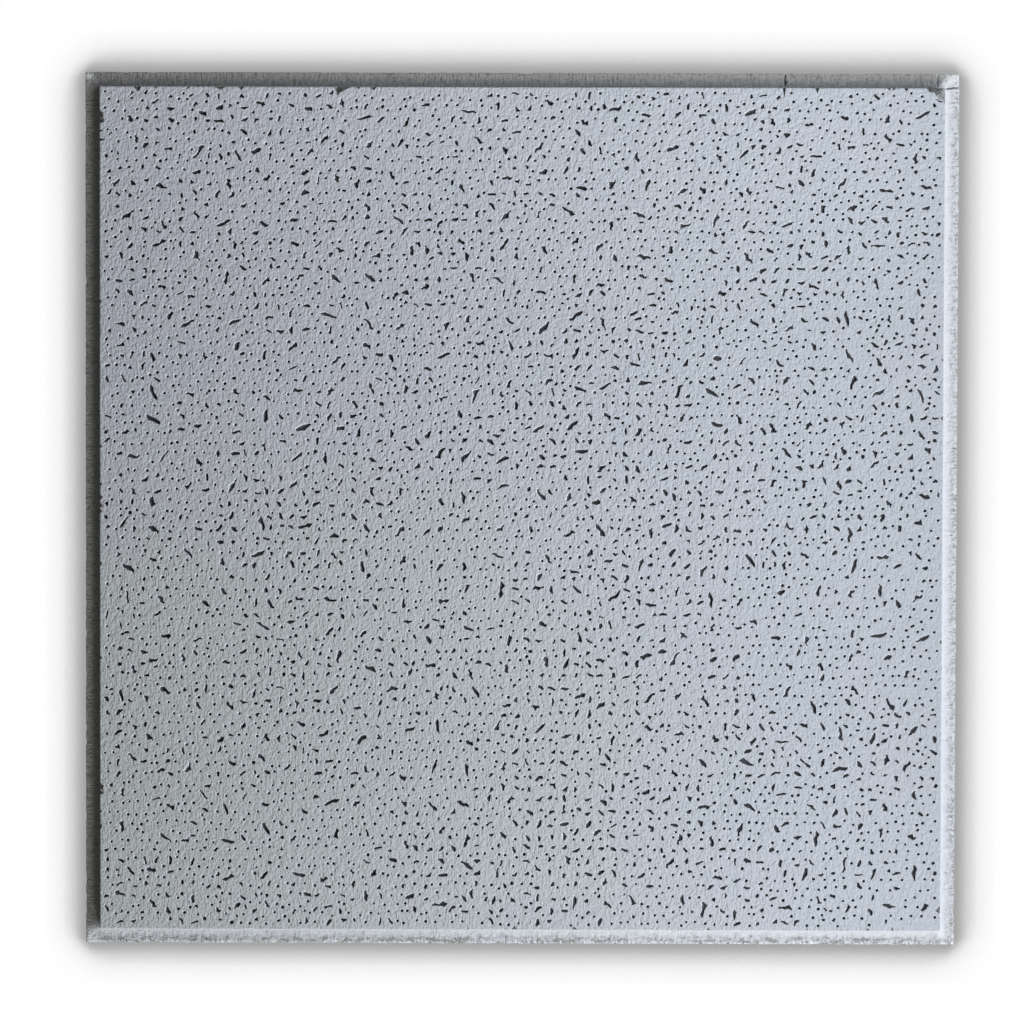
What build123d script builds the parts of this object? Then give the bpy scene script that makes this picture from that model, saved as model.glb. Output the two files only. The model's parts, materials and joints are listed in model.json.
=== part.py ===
from build123d import *
import math
import os
import random

# Mineral wool ceiling tile with a stepped edge and a fissured face, lying on its back.
# Origin at the middle of the back, +Z up out of the face, +Y towards the tile's top edge.

# Board, in millimetres
tile_width = 595.0
tile_length = 595.0
tile_thickness = 15.0

# Stepped edge: the flange rests on the ceiling grid and the face drops through it
flange_thickness = 7.0
ledge_width = 10.0
wall_lean = 1.0
rim_radius = 0.8

# Crumbled corner of the raised face, measured from the rim's corner
chip_along_x = 12.0
chip_along_y = 10.0
chip_depth = 5.0

# Fissures torn into the face: one in each cell of a square lattice, moved about inside its cell
fissure_seed = 24
fissure_pitch = 23.4
fissure_length_least = 6.0
fissure_length_most = 12.0
fissure_width_least = 1.8
fissure_width_most = 3.0
fissure_depth_least = 2.0
fissure_depth_most = 3.5
fissure_bend = 0.7
fissure_land = 2.0
rim_land = 4.0

# Heights and half sizes that follow from the driving dimensions
face_drop = tile_thickness - flange_thickness
foot_width = tile_width - 2 * ledge_width
foot_length = tile_length - 2 * ledge_width
rim_width = foot_width - 2 * wall_lean
rim_length = foot_length - 2 * wall_lean


def flange_slab():
    """The full board at the flange's thickness, with its back on the XY plane."""
    return extrude(Rectangle(tile_width, tile_length), amount=flange_thickness)


def raised_face():
    """The face block on the flange: walls lean in, the rim is eased and one corner has crumbled."""
    foot = Plane.XY.offset(flange_thickness) * Rectangle(foot_width, foot_length)
    lean_angle = math.degrees(math.atan2(wall_lean, face_drop))
    block = extrude(foot, amount=face_drop, taper=lean_angle)
    rim_edges = block.faces().sort_by(Axis.Z)[-1].edges()
    block = fillet(rim_edges, rim_radius)
    return block - corner_break()


def corner_break():
    """What has crumbled off: all above a plane that slants across the rim's corner at +X +Y."""
    corner = Vector(rim_width / 2, rim_length / 2, tile_thickness)
    slant = Vector(1 / chip_along_x, 1 / chip_along_y, 1 / chip_depth)
    lowest = corner - Vector(0, 0, chip_depth)
    reach = 2 * (chip_along_x + chip_along_y + chip_depth)
    from_plane_up = (Align.CENTER, Align.CENTER, Align.MIN)
    return Plane(lowest, z_dir=slant) * Box(reach, reach, reach, align=from_plane_up)


def fissure_outline(draw, cell_x, cell_y):
    """A torn slot with pointed ends: a spine of three runs, widest at its two inner points."""
    mostly_short = draw.random() ** 3
    length = fissure_length_least + (fissure_length_most - fissure_length_least) * mostly_short
    turn = draw.uniform(0, 180)
    roam = (fissure_pitch - fissure_land - length) / 2
    middle = Vector(cell_x + draw.uniform(-roam, roam), cell_y + draw.uniform(-roam, roam))
    near_bend = draw.uniform(-fissure_bend, fissure_bend)
    far_bend = draw.uniform(-fissure_bend, fissure_bend)
    near_half = draw.uniform(fissure_width_least, fissure_width_most) / 2
    far_half = draw.uniform(fissure_width_least, fissure_width_most) / 2
    points = [
        Vector(-length / 2, 0),
        Vector(-length / 6, near_bend - near_half),
        Vector(length / 6, far_bend - far_half),
        Vector(length / 2, 0),
        Vector(length / 6, far_bend + far_half),
        Vector(-length / 6, near_bend + near_half),
    ]
    return [middle + point.rotate(Axis.Z, turn) for point in points]


def fissures():
    """Every fissure as a prism that reaches down from the face to its own depth."""
    draw = random.Random(fissure_seed)
    columns = int((rim_width - 2 * rim_land) / fissure_pitch)
    rows = int((rim_length - 2 * rim_land) / fissure_pitch)
    face_plane = Plane.XY.offset(tile_thickness)
    prisms = []
    for column in range(columns):
        for row in range(rows):
            cell_x = (column - (columns - 1) / 2) * fissure_pitch
            cell_y = (row - (rows - 1) / 2) * fissure_pitch
            outline = fissure_outline(draw, cell_x, cell_y)
            depth = draw.uniform(fissure_depth_least, fissure_depth_most)
            slot = face_plane * make_face(Polyline(*outline, close=True))
            prisms.append(extrude(slot, amount=-depth))
    return prisms


tile = flange_slab() + raised_face()
tile = tile.cut(*fissures())

os.makedirs("parts", exist_ok=True)
export_step(tile, "parts/ceiling_tile.step")
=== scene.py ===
"""Mineral wool ceiling tile lying face up: the dressed board, its studio and its camera.

Lengths are in millimetres until a mesh, a lamp or the camera is made, where MM turns them into metres.
"""

from __future__ import annotations

import json
import logging
import math
import random
from dataclasses import dataclass
from enum import Enum
from functools import cached_property

import bpy
import numpy as np
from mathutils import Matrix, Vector
from mathutils.geometry import delaunay_2d_cdt


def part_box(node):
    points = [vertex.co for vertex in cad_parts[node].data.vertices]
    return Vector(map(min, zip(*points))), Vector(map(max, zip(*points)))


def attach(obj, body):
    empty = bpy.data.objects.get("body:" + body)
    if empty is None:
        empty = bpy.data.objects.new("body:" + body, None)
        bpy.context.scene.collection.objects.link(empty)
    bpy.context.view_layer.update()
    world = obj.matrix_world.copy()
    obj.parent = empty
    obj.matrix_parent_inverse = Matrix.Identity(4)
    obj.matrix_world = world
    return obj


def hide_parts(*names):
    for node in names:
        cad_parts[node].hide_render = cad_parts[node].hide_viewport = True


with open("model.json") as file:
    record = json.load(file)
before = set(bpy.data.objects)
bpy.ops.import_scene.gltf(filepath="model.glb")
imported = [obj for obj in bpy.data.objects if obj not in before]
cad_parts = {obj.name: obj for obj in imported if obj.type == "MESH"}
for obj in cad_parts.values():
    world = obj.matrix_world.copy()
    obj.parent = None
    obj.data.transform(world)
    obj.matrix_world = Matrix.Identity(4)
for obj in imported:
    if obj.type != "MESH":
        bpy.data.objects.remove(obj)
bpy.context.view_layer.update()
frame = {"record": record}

LOG = logging.getLogger("ceiling_tile")
MM = 0.001
NODE = "ceiling_tile"
Colour = tuple[float, float, float]
Triple = tuple[float, float, float]
Socket = bpy.types.NodeSocket


class Side(Enum):
    """The board's edges in anticlockwise order: the way each runs and the way it faces."""

    BOTTOM = ((1, 0), (0, -1))
    RIGHT = ((0, 1), (1, 0))
    TOP = ((-1, 0), (0, 1))
    LEFT = ((0, -1), (-1, 0))

    @property
    def run(self) -> np.ndarray:
        """Unit direction along the edge."""
        return np.array(self.value[0], float)

    @property
    def out(self) -> np.ndarray:
        """Unit direction away from the board."""
        return np.array(self.value[1], float)


class Skin(Enum):
    """The material slots of the board's mesh."""

    PAINT = 0
    PRICK = 1
    TEAR = 2
    FIBRE = 3


def lattice_noise(points: np.ndarray, cell: float | np.ndarray, seed: int) -> np.ndarray:
    """Smooth noise: a random value at each corner of a lattice, eased between corners by 3t^2 - 2t^3.

    Args:
        points: places to read the noise at, with X, Y and Z last.
        cell: the lattice's spacing, one number or one for each axis.
        seed: which lattice.

    Returns:
        Values from -1 to 1, one for each place.
    """
    scaled = points / cell
    base = np.floor(scaled).astype(np.int64)
    part = scaled - base
    ease = part * part * (3 - 2 * part)
    total = np.zeros(points.shape[:-1])
    for corner in np.ndindex(2, 2, 2):
        weight = np.where(corner, ease, 1 - ease).prod(axis=-1)
        mixed = (base + corner) @ np.array([73856093, 19349663, 83492791]) + seed * 2654435761
        mixed = (mixed ^ (mixed >> 13)) * 1274126177
        mixed = mixed ^ (mixed >> 16)
        total += weight * ((mixed & 0xFFFF) / 32767.5 - 1)
    return total


def add_object(name: str, data: bpy.types.ID) -> bpy.types.Object:
    """Put a mesh, a lamp or a camera into the scene as an object.

    Args:
        name: the object's name.
        data: the mesh, lamp or camera.

    Returns:
        The object.
    """
    thing = bpy.data.objects.new(name, data)
    bpy.context.scene.collection.objects.link(thing)
    return thing


def lattice_cells(columns: int, rows: int) -> np.ndarray:
    """A lattice's cells, column by column, as steps along X and Y from the lattice's middle."""
    return np.indices((columns, rows)).reshape(2, -1).T - (np.array([columns, rows]) - 1) / 2


@dataclass(frozen=True)
class BoardSizes:
    """The board's sizes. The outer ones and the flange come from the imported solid."""

    half_width: float
    half_length: float
    thickness: float
    flange: float
    ledge: float = 10.0
    lean: float = 1.0
    rim_radius: float = 0.8

    @classmethod
    def from_frame(cls, record: dict) -> BoardSizes:
        """Read the sizes that the frame gives.

        Args:
            record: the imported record.

        Returns:
            The board's sizes in millimetres.
        """
        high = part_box(NODE)[1] / MM
        seat = next(m for m in record["mounts"] if m["name"] == "seating_ledge")
        return cls(high.x, high.y, high.z, seat["pos_m"][2] / MM)

    @property
    def half(self) -> np.ndarray:
        """Half sizes of the whole board along X and Y."""
        return np.array([self.half_width, self.half_length])

    @property
    def rim_half(self) -> np.ndarray:
        """Half sizes of the raised face at its rim along X and Y."""
        return self.half - self.ledge - self.lean


@dataclass(frozen=True)
class CornerChip:
    """The crumbled corner at +X +Y: a plane that slants across the rim's corner, as in the solid."""

    along_x: float = 12.0
    along_y: float = 10.0
    depth: float = 5.0
    roughness: float = 0.2
    spacing: float = 1.1
    clear_of_ledge: float = 1.2
    overcut: float = 0.1
    crumbled_reach: float = 0.4
    bare_from: float = 0.04
    crumb_size: float = 3.1
    fine_crumb_size: float = 1.4
    fine_crumbs: float = 0.6
    patch_reach: float = 1.3
    patch_inset: float = 1.4
    patch_jitter: float = 0.3
    patch_seed: int = 8

    def above(self, points: np.ndarray, sizes: BoardSizes) -> np.ndarray:
        """How far points stand above the plane, in shares of the chip: x/a + y/b + z/c + 1 from the corner.

        Args:
            points: places with X, Y and Z last.
            sizes: the board's sizes.

        Returns:
            Positive shares over the plane and negative ones under it.
        """
        corner = np.array([*sizes.rim_half, sizes.thickness])
        return (points - corner) @ (1 / self.spans) + 1

    def press(self, points: np.ndarray, sizes: BoardSizes) -> tuple[np.ndarray, np.ndarray]:
        """Move what stands above the plane and the ledge straight back onto the plane, and crumble it.

        Args:
            points: places with X, Y and Z last.
            sizes: the board's sizes.

        Returns:
            The places, with those that were above the plane on it, and which of them are torn bare.
        """
        normal = 1 / self.spans
        plain = self.above(points, sizes)
        fine = lattice_noise(points, self.fine_crumb_size, 72)
        crumbs = lattice_noise(points, self.crumb_size, 71) + self.fine_crumbs * fine
        raised = points[..., 2] > sizes.flange + self.clear_of_ledge
        over = np.clip(plain + self.overcut + self.roughness * crumbs, 0, None)
        over = over * (raised & (plain > -self.crumbled_reach))
        return points - over[..., None] * normal / (normal @ normal), over > self.bare_from

    def patch(self, sizes: BoardSizes) -> np.ndarray:
        """Loose points of the face round the chip, close enough together to carry its crumbled surface.

        Args:
            sizes: the board's sizes.

        Returns:
            Points on the face, one a row.
        """
        reach = self.patch_reach * max(self.along_x, self.along_y)
        steps = np.arange(self.patch_inset, reach, self.spacing)
        inset = np.array(np.meshgrid(steps, steps)).reshape(2, -1).T
        draw = np.random.default_rng(self.patch_seed)
        inset = inset + self.patch_jitter * draw.uniform(-1, 1, inset.shape)
        points = np.column_stack([sizes.rim_half - inset, np.full(len(inset), sizes.thickness)])
        return points[self.above(points, sizes) > -self.crumbled_reach]

    @property
    def spans(self) -> np.ndarray:
        """The chip's reach along X, Y and down."""
        return np.array([self.along_x, self.along_y, self.depth])


@dataclass
class Tears:
    """Numbers of many fissures: a spine bent at its thirds, a half width at each bend, and a depth."""

    middle: np.ndarray
    turn: np.ndarray
    length: np.ndarray
    bend: np.ndarray
    half: np.ndarray
    depth: np.ndarray

    def kept(self, keep: np.ndarray) -> Tears:
        """The fissures that a mask keeps."""
        return Tears(*(numbers[keep] for numbers in vars(self).values()))


@dataclass(frozen=True)
class LongFissures:
    """The fissures that the solid has too, drawn again from the same seed in the same order."""

    seed: int = 24
    pitch: float = 23.4
    length_least: float = 6.0
    length_most: float = 12.0
    shortness: int = 3
    width_least: float = 1.8
    width_most: float = 3.0
    depth_least: float = 2.0
    depth_most: float = 3.5
    bend: float = 0.7
    land: float = 2.0
    rim_land: float = 4.0

    def draw(self, sizes: BoardSizes) -> Tears:
        """Draw every cell's fissure, column by column.

        Args:
            sizes: the board's sizes.

        Returns:
            The fissures' numbers.
        """
        draw = random.Random(self.seed)
        columns, rows = ((2 * sizes.rim_half - 2 * self.rim_land) / self.pitch).astype(int)
        cells = lattice_cells(columns, rows) * self.pitch
        table = np.array([self.draw_one(draw, x, y) for x, y in cells])
        return Tears(table[:, 0:2], table[:, 2], table[:, 3], table[:, 4:6], table[:, 6:8], table[:, 8])

    def draw_one(self, draw: random.Random, cell_x: float, cell_y: float) -> tuple[float, ...]:
        """One fissure's numbers, in the solid's order of draws.

        Args:
            draw: the source of random numbers.
            cell_x: the cell's middle along X.
            cell_y: the cell's middle along Y.

        Returns:
            Middle X and Y, turn in radians, length, two bends, two half widths and depth.
        """
        mostly_short = draw.random() ** self.shortness
        length = self.length_least + (self.length_most - self.length_least) * mostly_short
        turn = math.radians(draw.uniform(0, 180))
        roam = (self.pitch - self.land - length) / 2
        middle_x = cell_x + draw.uniform(-roam, roam)
        middle_y = cell_y + draw.uniform(-roam, roam)
        bends = draw.uniform(-self.bend, self.bend), draw.uniform(-self.bend, self.bend)
        near_half = draw.uniform(self.width_least, self.width_most) / 2
        far_half = draw.uniform(self.width_least, self.width_most) / 2
        depth = draw.uniform(self.depth_least, self.depth_most)
        return middle_x, middle_y, turn, length, *bends, near_half, far_half, depth


@dataclass(frozen=True)
class ShortFissures:
    """The smaller fissures between the long ones, on a finer lattice, thinned where the pattern is loose."""

    seed: int = 5
    pitch: float = 8.4
    share: float = 0.62
    length_least: float = 2.9
    length_most: float = 7.0
    shortness: float = 1.8
    land: float = 0.6
    width_least: float = 1.6
    width_most: float = 2.6
    depth_least: float = 2.0
    depth_most: float = 3.2
    bend: float = 1.1
    clump: float = 55.0
    clumping: float = 0.8

    def draw(self, sizes: BoardSizes) -> Tears:
        """Draw one fissure in each kept cell of the lattice.

        Args:
            sizes: the board's sizes.

        Returns:
            The fissures' numbers, before those that would meet another hole are taken out.
        """
        draw = np.random.default_rng(self.seed)
        columns, rows = (2 * sizes.rim_half / self.pitch).astype(int)
        cells = lattice_cells(columns, rows) * self.pitch
        count = len(cells)
        mostly_short = draw.random(count) ** self.shortness
        length = self.length_least + (self.length_most - self.length_least) * mostly_short
        roam = (self.pitch - length - self.land) / 2
        middle = cells + draw.uniform(-1, 1, (count, 2)) * roam[:, None]
        tears = Tears(
            middle,
            draw.uniform(0, math.pi, count),
            length,
            draw.uniform(-self.bend, self.bend, (count, 2)) * (length / self.length_most)[:, None],
            draw.uniform(self.width_least, self.width_most, (count, 2)) / 2,
            draw.uniform(self.depth_least, self.depth_most, count),
        )
        level = np.column_stack([middle, np.zeros(count)])
        chance = self.share * (1 + self.clumping * lattice_noise(level, self.clump, 11))
        return tears.kept(draw.random(count) < chance)


@dataclass(frozen=True)
class CornerCrack:
    """The thin crack that lets a flake go below the crumbled corner, measured from the rim's corner."""

    inset_x: float = 4.3
    inset_y: float = 8.4
    turn: float = -15.0
    length: float = 5.6
    bend: float = 0.2
    half_width: float = 0.62
    depth: float = 1.8

    def draw(self, sizes: BoardSizes) -> Tears:
        """The crack's numbers, as a list of one fissure.

        Args:
            sizes: the board's sizes.

        Returns:
            The numbers.
        """
        middle = sizes.rim_half - [self.inset_x, self.inset_y]
        numbers = (math.radians(self.turn), self.length, self.depth)
        turn, length, depth = (np.array([number]) for number in numbers)
        bend = np.array([[self.bend, -self.bend]])
        return Tears(middle[None], turn, length, bend, np.full((1, 2), self.half_width), depth)


@dataclass
class Pits:
    """Pits of one kind: outlines round their mouths, points along their floors, and the faces between."""

    mouths: np.ndarray
    floors: np.ndarray
    faces: np.ndarray
    skin: Skin

    @property
    def hull(self) -> np.ndarray:
        """One disc round each whole mouth, as middle X, middle Y and radius.

        Returns:
            The discs, one a row.
        """
        middle = self.mouths.mean(axis=1)
        reach = np.linalg.norm(self.mouths - middle[:, None], axis=-1).max(axis=1)
        return np.column_stack([middle, reach])

    @property
    def discs(self) -> np.ndarray:
        """Discs that cover each mouth: one over each edge of its outline, one between facing points.

        Returns:
            Middle X, middle Y and radius of each pit's discs. A prick has one disc.
        """
        if self.skin is Skin.PRICK:
            return self.hull[:, None]
        ahead = np.roll(self.mouths, -1, axis=1)
        stations = self.mouths.shape[1] // 2 - 1
        first = np.concatenate([self.mouths, self.mouths[:, 1 : stations + 1]], axis=1)
        second = np.concatenate([ahead, self.mouths[:, : stations + 1 : -1]], axis=1)
        reach = np.linalg.norm(first - second, axis=-1, keepdims=True) / 2
        return np.concatenate([(first + second) / 2, reach], axis=-1)

    def kept(self, keep: np.ndarray) -> Pits:
        """The pits that a mask keeps."""
        return Pits(self.mouths[keep], self.floors[keep], self.faces, self.skin)


def disc_gap(first: np.ndarray, second: np.ndarray) -> np.ndarray:
    """Gaps between discs, given as X, Y and radius: the way between their middles less both radii."""
    apart = np.hypot(first[..., 0] - second[..., 0], first[..., 1] - second[..., 1])
    return apart - first[..., 2] - second[..., 2]


def clear_of(pits: Pits, others: Pits, gap: float) -> np.ndarray:
    """Which pits stay clear of others, or of earlier ones of their own kind if the others are the same.

    Args:
        pits: the pits to test.
        others: the pits to stay clear of.
        gap: the least distance between two mouths.

    Returns:
        True for each pit that is clear.
    """
    hulls, other_hulls, discs, other_discs = pits.hull, others.hull, pits.discs, others.discs
    number = np.arange(len(hulls))
    clear = np.ones(len(hulls), bool)
    for block in np.array_split(number, max(1, len(hulls) // 500)):
        close = disc_gap(hulls[block, None], other_hulls) <= gap
        if others is pits:
            close &= number < block[:, None]
        mine, theirs = np.nonzero(close)
        apart = disc_gap(discs[block[mine]][:, :, None], other_discs[theirs][:, None])
        clear[block[mine[(apart <= gap).any(axis=(1, 2))]]] = False
    return clear


@dataclass(frozen=True)
class TearShape:
    """How a fissure's numbers become a ragged trench with blunt ends and, at times, a side spur."""

    stations: int
    seed: int
    swell: float = 1.06
    raggedness: float = 0.56
    spur_share: float = 0.75
    spur_least: float = 0.6
    spur_most: float = 1.8
    blunt_least: float = 2.4
    blunt_most: float = 9.0
    tail: float = 0.4
    floor_wander: float = 0.15
    floor_least: float = 0.8
    lean: tuple[float, float] = (0.42, -0.31)

    def pits(self, tears: Tears, level: float) -> Pits:
        """Carry a width along each bent spine.

        The spine is the cubic through the tips and the two bends. At each station the mouth lies a half
        width to either side, times (1 - |2s|^p)^0.5, with p from pointed to blunt, and each end has a short
        tail. The floor lies between, moved by the lean times the half width.

        Args:
            tears: the fissures' numbers.
            level: the height of the face.

        Returns:
            The trenches.
        """
        draw = np.random.default_rng(self.seed)
        count = len(tears.length)
        along = 0.5 * np.sin(np.linspace(-math.pi / 2, math.pi / 2, self.stations + 2))
        knots = np.array([-1 / 2, -1 / 6, 1 / 6, 1 / 2])
        powers = np.arange(4)
        carry = np.linalg.inv(knots[:, None] ** powers).T @ (along ** powers[:, None])
        ends = np.zeros((count, 1))
        spine = np.concatenate([ends, tears.bend, ends], axis=1) @ carry
        inner = along[1:-1]
        bluntness = draw.uniform(self.blunt_least, self.blunt_most, (count, 1))
        blunt = (1 - np.abs(2 * inner) ** bluntness) ** 0.5
        width = self.swell * (tears.half[:, :1] * (0.5 - inner) + tears.half[:, 1:] * (0.5 + inner)) * blunt
        ragged = draw.uniform(1 - self.raggedness, 1 + self.raggedness, (2, count, self.stations))
        spurs = np.zeros((2, count, self.stations))
        spurred = np.flatnonzero(draw.random(count) < self.spur_share)
        where = draw.integers(1, self.stations - 1, len(spurred))
        spurs[draw.integers(0, 2, len(spurred)), spurred, where] = draw.uniform(
            self.spur_least, self.spur_most, len(spurred)
        )
        lower = spine[:, 1:-1] - width * ragged[0] - spurs[0]
        upper = spine[:, 1:-1] + width * ragged[1] + spurs[1]
        side_x = tears.length[:, None] * inner
        tips = tears.length[:, None] * [-0.5, 0.5] + self.tail * draw.random((count, 2)) * [-1, 1]
        mouth_x = np.concatenate([tips[:, :1], side_x, tips[:, 1:], side_x[:, ::-1]], axis=1)
        mouth_y = np.concatenate([ends, lower, ends, upper[:, ::-1]], axis=1)
        wander = draw.uniform(-self.floor_wander, self.floor_wander, lower.shape)
        floor_y = (lower + upper) / 2 + wander * width
        sink = tears.depth[:, None] * (1 - np.abs(2 * inner) ** 3) ** 0.5
        floor_z = level - sink * draw.uniform(self.floor_least, 1.0, sink.shape)
        mouths = self.place(tears, mouth_x, mouth_y)
        floor = self.place(tears, side_x, floor_y) + width[..., None] * self.lean
        floors = np.concatenate([floor, floor_z[..., None]], axis=-1)
        return Pits(mouths, floors, self.walls(), Skin.TEAR)

    @staticmethod
    def place(tears: Tears, x: np.ndarray, y: np.ndarray) -> np.ndarray:
        """Turn and move points from a fissure's own axes to the board's.

        Args:
            tears: the fissures' numbers.
            x: places along each spine.
            y: places across it.

        Returns:
            X and Y on the board.
        """
        cosine, sine = np.cos(tears.turn)[:, None], np.sin(tears.turn)[:, None]
        turned = np.stack([x * cosine - y * sine, x * sine + y * cosine], axis=-1)
        return turned + tears.middle[:, None]

    def walls(self) -> np.ndarray:
        """Triangles from the mouth to the floor, numbered in the mouth's points and then the floor's.

        Returns:
            The triangles of one trench, which all trenches share.
        """
        last = self.stations
        ring = 2 * last + 2
        low = np.arange(1, last)
        floor = ring + np.arange(last)
        high = ring - np.arange(1, last)
        return np.concatenate([
            [(0, 1, floor[0]), (last, last + 1, floor[-1])],
            [(last + 1, last + 2, floor[-1]), (ring - 1, 0, floor[0])],
            np.column_stack([low, low + 1, floor[1:]]),
            np.column_stack([low, floor[1:], floor[:-1]]),
            np.column_stack([high - 1, high, floor[:-1]]),
            np.column_stack([high - 1, floor[:-1], floor[1:]]),
        ])


@dataclass(frozen=True)
class PinHoles:
    """The needle pricks: a lattice in wavy rows, each a cone with an uneven mouth and a leaning axis."""

    seed: int = 3
    pitch: float = 6.6
    jitter: float = 1.9
    wave: float = 2.6
    wave_length: float = 95.0
    radius_least: float = 1.2
    radius_most: float = 1.56
    depth_least: float = 2.3
    depth_most: float = 3.1
    sides: int = 6
    unevenness: float = 0.14
    lean: tuple[float, float] = (0.5, -0.36)
    lean_spread: float = 0.1

    def pits(self, sizes: BoardSizes) -> Pits:
        """Every prick that the lattice gives, before those that would meet another hole are taken out.

        A mouth's point lies at r (1 + e) in its direction, with e random, and all run down to one point,
        which is moved by the lean times r.

        Args:
            sizes: the board's sizes.

        Returns:
            The cones.
        """
        draw = np.random.default_rng(self.seed)
        columns, rows = (2 * sizes.rim_half / self.pitch).astype(int) + 1
        cells = lattice_cells(columns, rows)
        cells[:, 0] += 0.5 * (np.arange(columns * rows) % rows % 2)
        middle = cells * self.pitch + draw.uniform(-self.jitter, self.jitter, cells.shape)
        level = np.column_stack([middle, np.zeros(len(middle))])
        middle = middle + self.wave * np.column_stack(
            [lattice_noise(level, self.wave_length, 21), lattice_noise(level, self.wave_length, 22)]
        )
        count = len(middle)
        radius = draw.uniform(self.radius_least, self.radius_most, count)
        around = np.linspace(0, 2 * math.pi, self.sides, endpoint=False)
        around = around + draw.uniform(0, 2 * math.pi, (count, 1))
        reach = radius[:, None] * (1 + draw.uniform(-self.unevenness, self.unevenness, around.shape))
        mouths = middle[:, None] + reach[..., None] * np.stack([np.cos(around), np.sin(around)], axis=-1)
        depth = draw.uniform(self.depth_least, self.depth_most, count)
        lean = self.lean + draw.uniform(-self.lean_spread, self.lean_spread, (count, 2))
        tips = np.column_stack([middle + radius[:, None] * lean, sizes.thickness - depth])[:, None]
        ring = np.arange(self.sides)
        faces = np.column_stack([ring, np.roll(ring, -1), np.full(self.sides, self.sides)])
        return Pits(mouths, tips, faces, Skin.PRICK)


@dataclass(frozen=True)
class Flaw:
    """A bite out of the rim or a crack in the ledge: its place on a side, reach to either hand and depth."""

    side: Side
    along: float
    before: float
    after: float
    depth: float

    def bite(self, along: np.ndarray) -> np.ndarray:
        """The share of the depth that is gone along the side: 1 at the middle, 0 past the reach."""
        apart = along - self.along
        return np.clip(1 - np.abs(apart) / np.where(apart < 0, self.before, self.after), 0, 1)

    def stations(self) -> np.ndarray:
        """Places along the side that the flaw needs.

        Returns:
            Distances from the side's middle.
        """
        shares = np.array([1.2, 0.7, 0.25])
        before, after = self.along - self.before * shares, self.along + self.after * shares
        return np.concatenate([before, [self.along], after])


RIM_NICKS = (
    Flaw(Side.TOP, 125.2, 7.4, 1.8, 4.9),
    Flaw(Side.TOP, -177.5, 0.9, 0.9, 7.0),
    Flaw(Side.TOP, 100.6, 1.3, 1.9, 2.2),
    Flaw(Side.TOP, -200.0, 1.0, 1.6, 3.2),
    Flaw(Side.TOP, 261.0, 2.4, 2.2, 2.3),
    Flaw(Side.TOP, 204.5, 2.4, 2.8, 1.7),
    Flaw(Side.TOP, -248.6, 0.7, 0.8, 1.0),
    Flaw(Side.TOP, -251.6, 0.8, 0.7, 1.2),
    Flaw(Side.TOP, -260.3, 1.0, 1.2, 2.0),
    Flaw(Side.LEFT, -268.6, 1.2, 4.0, 2.6),
    Flaw(Side.LEFT, -262.6, 3.4, 1.2, 3.0),
    Flaw(Side.LEFT, -250.5, 0.8, 1.1, 3.4),
    Flaw(Side.LEFT, -8.0, 1.4, 1.8, 1.6),
    Flaw(Side.LEFT, -2.5, 1.4, 1.2, 1.4),
    Flaw(Side.LEFT, 189.0, 2.2, 2.4, 1.9),
    Flaw(Side.RIGHT, -273.0, 1.2, 3.4, 2.4),
)
LEDGE_CRACKS = (
    Flaw(Side.TOP, -179.0, 0.9, 0.9, 2.6),
    Flaw(Side.TOP, -282.6, 1.1, 1.9, 1.9),
    Flaw(Side.RIGHT, 287.6, 0.7, 0.8, 2.2),
)


def scattered_nicks(sizes: BoardSizes) -> list[Flaw]:
    """Small bites where the rim cuts through a hole, most of them on the top and left sides.

    Args:
        sizes: the board's sizes.

    Returns:
        The bites.
    """
    draw = random.Random(15)
    counts = {Side.TOP: 6, Side.LEFT: 11, Side.BOTTOM: 5, Side.RIGHT: 3}
    corner_land = 20
    along = sizes.rim_half.min() - corner_land
    hand, depth = (0.6, 1.6), (0.7, 2.2)
    ranges = ((-along, along), hand, hand, depth)
    return [
        Flaw(side, *(draw.uniform(*ends) for ends in ranges))
        for side, count in counts.items()
        for _ in range(count)
    ]


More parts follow.
